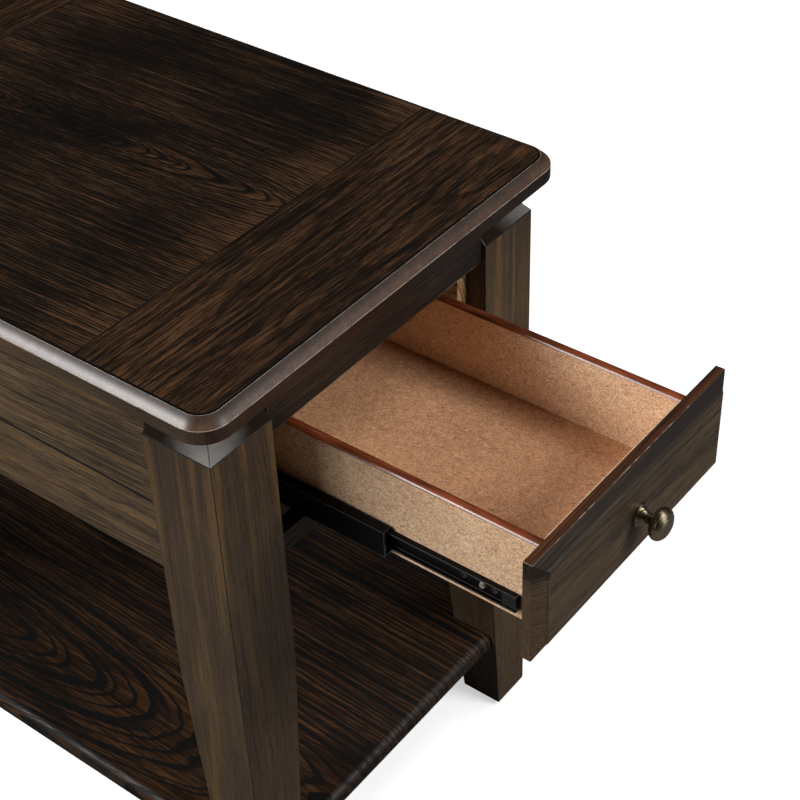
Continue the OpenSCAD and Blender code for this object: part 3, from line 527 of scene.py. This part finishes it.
# How far inside the top's outline the band's outer arris ends, its inner one begins, and its
# groove begins
OUTER_ARRIS = 2 * MM
INNER_ARRIS = 6 * MM
BAND_GROOVE = 8.4 * MM

# How far a face looks up, from 0 for upright to 1 for level: the least for a cove, for the slope
# of an apron's groove, for the band's bevel, for its inner arris and for the drawer front's top
# edge, and the least and most for the band's outer arris
COVE_RISE = 0.08
GROOVE_RISE = 0.2
BEVEL_RISE = 0.3
INNER_ARRIS_RISE = 0.8
TOP_EDGE_RISE = 0.9
OUTER_ARRIS_RISES = (0.08, 0.68)

# How squarely the drawer front's raised field faces the front, which is -1 along y
FIELD_FACING = -0.99

# How far the slopes of an apron's groove reach, and how wide the drawer front's rubbed rim is
GROOVE_REACH = 4 * MM
FRONT_RIM = 1.5 * MM

# How deep the rounded edge of a top board reaches, and how much its top face may be off level
RIM_DEPTH = 3 * MM
LEVEL = 0.05 * MM


# The node's own surface as one closed mesh, with flat faces merged
def welded(node):
    mesh = bmesh.new()
    mesh.from_mesh(frame["nodes"][node].data)
    bmesh.ops.remove_doubles(mesh, verts=mesh.verts, dist=SAME_POINT)
    bmesh.ops.dissolve_limit(mesh, angle_limit=FLAT_TURN, verts=mesh.verts, edges=mesh.edges)
    return mesh


# The width is in millimetres. Without a material, the new faces take that of their neighbours.
def ease(mesh, edges, width, material=-1):
    bmesh.ops.bevel(mesh, geom=edges, offset=width * MM, offset_type="OFFSET", segments=2,
                    profile=0.5, affect="EDGES", clamp_overlap=True, material=material)


# Edges that stick out, longer than the shortest in millimetres
def outer_edges(mesh, shortest, least_turn=EASED_TURN):
    return [edge for edge in mesh.edges
            if len(edge.link_faces) == 2 and edge.is_convex and edge.calc_length() > shortest * MM
            and edge.calc_face_angle(0) > least_turn]


# Corner normals that follow the larger faces and break at sharp edges
def settle_normals(mesh):
    bmesh.ops.triangulate(mesh, faces=[face for face in mesh.faces if len(face.verts) > 4])
    mesh.normal_update()
    for edge in mesh.edges:
        edge.smooth = len(edge.link_faces) == 2 and edge.calc_face_angle(0) < SMOOTH_TURN
    settled = mesh.loops.layers.float_vector.new("settled")
    for vert in mesh.verts:
        waiting = set(vert.link_faces)
        while waiting:
            fan = [waiting.pop()]
            for face in fan:
                for edge in face.edges:
                    if edge.smooth and vert in edge.verts:
                        joined = [other for other in edge.link_faces if other in waiting]
                        waiting.difference_update(joined)
                        fan.extend(joined)
            normal = sum((face.normal * face.calc_area() for face in fan), Vector()).normalized()
            for corner in vert.link_loops:
                if corner.face in fan:
                    corner[settled] = normal


def body_with(node):
    return next(b for b, nodes in frame["record"]["behaviour"]["bodies"].items() if node in nodes)


def slot_of(node):
    return next(s["material_slot"] for s in frame["record"]["subparts"] if s["node"] == node)


# Makes the finished mesh the visible piece of a node, on the node's own body
def standing_for(node, mesh, materials):
    if not mesh.loops.layers.float_vector.get("settled"):
        settle_normals(mesh)
    data = bpy.data.meshes.new("eased_" + node)
    mesh.to_mesh(data)
    mesh.free()
    normals = [item.vector.copy() for item in data.attributes["settled"].data]
    data.attributes.remove(data.attributes["settled"])
    data.shade_smooth()
    data.normals_split_custom_set(normals)
    piece = bpy.data.objects.new("eased_" + node, data)
    bpy.context.scene.collection.objects.link(piece)
    for material in materials:
        piece.data.materials.append(material)
    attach(piece, body_with(node))
    slot_of(node)
    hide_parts(node)


# A node with its outer edges eased, as sandpaper leaves them. The zone gives the number of each
# face's material, and the eased edges, or those of them that are rubbed, take the arris material.
def eased(node, width, materials, zone=None, arris=None, rubbed=None):
    mesh = welded(node)
    ease(mesh, outer_edges(mesh, SHORTEST_EDGE), width, len(materials) if arris else -1)
    mesh.normal_update()
    for face in mesh.faces:
        if rubbed and face.material_index and not rubbed(face):
            face.material_index = 0
        if zone and face.material_index == 0:
            face.material_index = zone(face)
    standing_for(node, mesh, materials + [arris] if arris else materials)


# A board of the top: its edge beside the band is rounded, and holds dark glaze as the grooves do
def top_board(node, wood):
    mesh = welded(node)
    rim = [edge for edge in outer_edges(mesh, SHORTEST_RIM, SQUARE_TURN)
           if all(abs(v.co.z - TABLE_TOP) < LEVEL for v in edge.verts)]
    ease(mesh, rim, RIM_EASE)
    mesh.normal_update()
    for face in mesh.faces:
        if TABLE_TOP - RIM_DEPTH < face.calc_center_median().z < TABLE_TOP - LEVEL:
            face.material_index = 1
    standing_for(node, mesh, [wood, dark_glaze])


# How far a spot lies inside the top's outline
def from_the_edge(spot):
    over_x = abs(spot.x) - TOP_HALF + TOP_CORNER
    over_y = abs(spot.y - TOP_MIDDLE) - TOP_REACH + TOP_CORNER
    return TOP_CORNER - math.hypot(max(over_x, 0), max(over_y, 0)) - min(max(over_x, over_y), 0)


# 0 on the band's outer face, 1 on its bevel, 2 in the groove and 3 on the two arrises
def band_zone(face):
    inward = from_the_edge(face.calc_center_median())
    rise = face.normal.z
    least, most = OUTER_ARRIS_RISES
    if inward < OUTER_ARRIS and least < rise < most:
        return 3
    if inward > INNER_ARRIS and rise > INNER_ARRIS_RISE:
        return 3
    if inward > BAND_GROOVE:
        return 2
    return int(rise > BEVEL_RISE)


# The faces where two sides of the band meet: upright, and at 45 degrees
def is_mitre(face):
    upright = abs(face.normal.z) < 0.01
    return upright and abs(abs(face.normal.x) - math.sqrt(0.5)) < 0.002


# The band around the top: its four sides are eased as one ring, so that no mitre shows, and
# then parted again. Until then a face's material number tells whose face it is.
def top_bands(finishes):
    ring = bmesh.new()
    for owner, side in enumerate(finishes):
        known = len(ring.faces)
        ring.from_mesh(frame["nodes"][side].data)
        ring.faces.ensure_lookup_table()
        for face in ring.faces[known:]:
            face.material_index = owner
    bmesh.ops.remove_doubles(ring, verts=ring.verts, dist=SAME_MITRE_POINT)
    ring.normal_update()
    mitres = [face for face in ring.faces if is_mitre(face)]
    bmesh.ops.delete(ring, geom=mitres, context="FACES_ONLY")
    bmesh.ops.dissolve_limit(ring, angle_limit=FLAT_TURN, verts=ring.verts, edges=ring.edges,
                             delimit={"MATERIAL"})
    ease(ring, outer_edges(ring, SHORTEST_BAND_EDGE), BAND_EASE)
    settle_normals(ring)
    for owner, (side, (wood, bevel)) in enumerate(finishes.items()):
        part = ring.copy()
        others = [face for face in part.faces if face.material_index != owner]
        bmesh.ops.delete(part, geom=others, context="FACES")
        open_ends = [edge for edge in part.edges if edge.is_boundary]
        bmesh.ops.holes_fill(part, edges=open_ends, sides=0)
        bmesh.ops.recalc_face_normals(part, faces=part.faces)
        for face in part.faces:
            face.material_index = band_zone(face)
        standing_for(side, part, [wood, bevel, dark_glaze, band_arris_highlight])
    ring.free()


# 0 on the leg and 1 in its cove
def leg_zone(face):
    return int(face.calc_center_median().z > BELOW_COVES and face.normal.z > COVE_RISE)


# 0 on the board and 1 on its slope into the groove
def apron_zone(face):
    from_groove = abs(face.calc_center_median().z - APRON_GROOVE)
    return int(from_groove < GROOVE_REACH and abs(face.normal.z) > GROOVE_RISE)


# 0 on the raised field, 1 on the frame around it and 2 on the top edge
def front_zone(face):
    if face.normal.z > TOP_EDGE_RISE:
        return 2
    return int(face.normal.y > FIELD_FACING)


# The rubbed edges of the drawer front: above, below and on the right, and not at its back
def on_the_outline(face):
    spot = face.calc_center_median()
    from_rim = min(FRONT_TOP - spot.z, spot.z - FRONT_BOTTOM, FRONT_HALF - spot.x)
    return from_rim < FRONT_RIM and spot.y < FRONT_BACK - 2 * MM


# The top
top_board("top_field", field_wood)
top_board("breadboard_front", breadboard_wood)
top_board("breadboard_back", breadboard_wood)
top_bands({"top_edge_front": (band_face_across, bevel_across),
           "top_edge_back": (band_face_across, bevel_across),
           "top_edge_left": (band_face_along, band_bevel),
           "top_edge_right": (band_face_along, band_bevel)})

# The case
for corner in ("front_left", "front_right", "back_left", "back_right"):
    eased("leg_" + corner, LEG_EASE, [leg_wood, cove_lacquer_and_painted_sheen], leg_zone, leg_arris)
for board in ("upper", "lower"):
    for hand in ("left", "right"):
        eased(f"apron_{board}_{hand}", APRON_EASE, [apron_wood, dark_glaze], apron_zone)
    eased(f"apron_{board}_back", APRON_EASE, [rail_wood, dark_glaze], apron_zone)
eased("front_rail_top", RAIL_EASE, [rail_wood], arris=worn_arris)
eased("front_rail_bottom", RAIL_EASE, [rail_wood])
eased("shelf_panel", SHELF_EASE, [shelf_wood])

# The drawer
eased("drawer_front", FRONT_EASE, [front_wood, front_frame, front_top_wood], front_zone, worn_arris,
      on_the_outline)
for board in ("drawer_side_left", "drawer_side_right", "drawer_box_front", "drawer_box_back"):
    eased(board, BOX_EASE, [box_board])
eased("drawer_bottom", BOTTOM_EASE, [floor_board])

# What holds the slides and the top
for hand in ("left", "right"):
    eased("slide_cleat_" + hand, STRIP_EASE, [raw_wood])
    eased("top_batten_" + hand, STRIP_EASE, [raw_wood])

# The pieces that keep the frame's own shape, by finish
CARRIED = (
    (raw_wood, ("apron_dowels", "shelf_dowels")),
    (packer_wood, ("slide_packer_left", "slide_packer_right")),
    (cap_finish, ("drawer_cap_left", "drawer_cap_right")),
    (slide_black, ("slide_case_left", "slide_case_right", "slide_mid_left", "slide_mid_right",
                   "slide_drawer_left", "slide_drawer_right")),
    (zinc, ("cage_outer_left", "cage_outer_right", "cage_inner_left", "cage_inner_right",
            "top_screws", "cleat_screws", "slide_case_screws", "slide_drawer_screws",
            "front_screws", "knob_screw")),
    (pewter, ("knob", "knob_rose")),
    (black_plastic, ("foot_glides", "slide_bumper_left", "slide_bumper_right")),
    (grey_plastic, ("slide_stop_left", "slide_stop_right")))
for finish, nodes in CARRIED:
    for node in nodes:
        for place in frame["nodes"][node].material_slots:
            place.material = finish

# Half the floor's width, the distances between which its glow rises, and the light that the
# room gives to everything but the camera
FLOOR_HALF = 6
GLOW_START, GLOW_END = 0.9, 2.2
ROOM_LIGHT = 0.02

# The place of each lamp, its width and height, and its radiance; all of them point at one place
LAMPS = {"left_low_light": ((-3.06, 0.515, 1.38), (0.95, 0.95), 7),
         "left_high_light": ((-2.06, 1.56, 2.34), (1.95, 1.0), 14),
         "front_light": ((0.8, -2.605, 2.34), (1.3, 0.95), 16),
         "front_low_light": ((0.78, -3.205, 0.78), (0.95, 0.95), 5),
         "top_light": ((1.26, -1.045, 3.27), (0.95, 0.95), 7)}
LAMP_TARGET = Vector((-0.05, -0.125, 0.5))

# The camera's place, the directions of the picture's right, down and depth, and the lens
CAMERA_PLACE = Vector((-0.8293, -0.87485, 1.3926))
CAMERA_RIGHT = Vector((0.60749, -0.79371, -0.03142))
CAMERA_DOWN = Vector((-0.51979, -0.3673, -0.7713))
CAMERA_FORWARD = Vector((0.60065, 0.48489, -0.63569))
SENSOR_WIDTH = 36
FOCAL_LENGTH = 79.436


def grey(level):
    return (level, level, level, 1)


# White paper to the camera, and a dim floor to everything that it lights
def studio_floor():
    f = Finish("paper_floor")
    seen = f.node("ShaderNodeLightPath", output="Is Camera Ray")
    fleck = f.noise(f.place, 40)
    white = f.mix(fleck, grey(0.88), grey(0.92))
    dim = f.mix(fleck, (0.16, 0.155, 0.15, 1), (0.2, 0.195, 0.19, 1))
    # Far from the table, where the lamps no longer reach, the paper glows as white as near it
    x, y = f.spot[:2]
    far = f.steps((x * x + y * y) ** 0.5, GLOW_START, GLOW_END)
    glow = f.mix(far, grey(0.55), grey(1.05))
    f.surface(Base_Color=f.mix(seen, dim, white), Roughness=0.9, Specular_IOR_Level=0.0,
              Emission_Color=f.mix(seen, grey(0), glow), Emission_Strength=1.0)
    data = bpy.data.meshes.new("floor")
    mesh = bmesh.new()
    bmesh.ops.create_grid(mesh, x_segments=1, y_segments=1, size=FLOOR_HALF)
    mesh.to_mesh(data)
    mesh.free()
    floor = bpy.data.objects.new("floor", data)
    bpy.context.scene.collection.objects.link(floor)
    floor.data.materials.append(f.material)


# White to the camera, and nearly dark to everything else
def studio_room():
    world = bpy.data.worlds.new("studio")
    bpy.context.scene.world = world
    world.use_nodes = True
    tree = world.node_tree
    tree.nodes.clear()
    path = tree.nodes.new("ShaderNodeLightPath")
    blend = tree.nodes.new("ShaderNodeMixShader")
    out = tree.nodes.new("ShaderNodeOutputWorld")
    tree.links.new(path.outputs["Is Camera Ray"], blend.inputs[0])
    for socket, strength in ((1, ROOM_LIGHT), (2, 1.0)):
        light = tree.nodes.new("ShaderNodeBackground")
        light.inputs["Color"].default_value = grey(1)
        light.inputs["Strength"].default_value = strength
        tree.links.new(light.outputs[0], blend.inputs[socket])
    tree.links.new(blend.outputs[0], out.inputs["Surface"])


def softbox(name, place, size, radiance):
    lamp = bpy.data.lights.new(name, "AREA")
    lamp.shape = "RECTANGLE"
    lamp.size, lamp.size_y = size
    lamp.energy = radiance * math.pi * size[0] * size[1]
    holder = bpy.data.objects.new(name, lamp)
    bpy.context.scene.collection.objects.link(holder)
    holder.location = place
    holder.rotation_euler = (Vector(place) - LAMP_TARGET).to_track_quat("Z", "Y").to_euler()


def photo_camera():
    data = bpy.data.cameras.new("camera")
    camera = bpy.data.objects.new("camera", data)
    bpy.context.scene.collection.objects.link(camera)
    data.sensor_width = SENSOR_WIDTH
    data.lens = FOCAL_LENGTH
    data.clip_start = 50 * MM
    turn = Matrix((CAMERA_RIGHT, -CAMERA_DOWN, -CAMERA_FORWARD)).transposed().to_4x4()
    camera.matrix_world = Matrix.Translation(CAMERA_PLACE) @ turn
    bpy.context.scene.camera = camera


studio_floor()
studio_room()
for name, (place, size, radiance) in LAMPS.items():
    softbox(name, place, size, radiance)
photo_camera()
bpy.context.scene.view_settings.view_transform = "Standard"
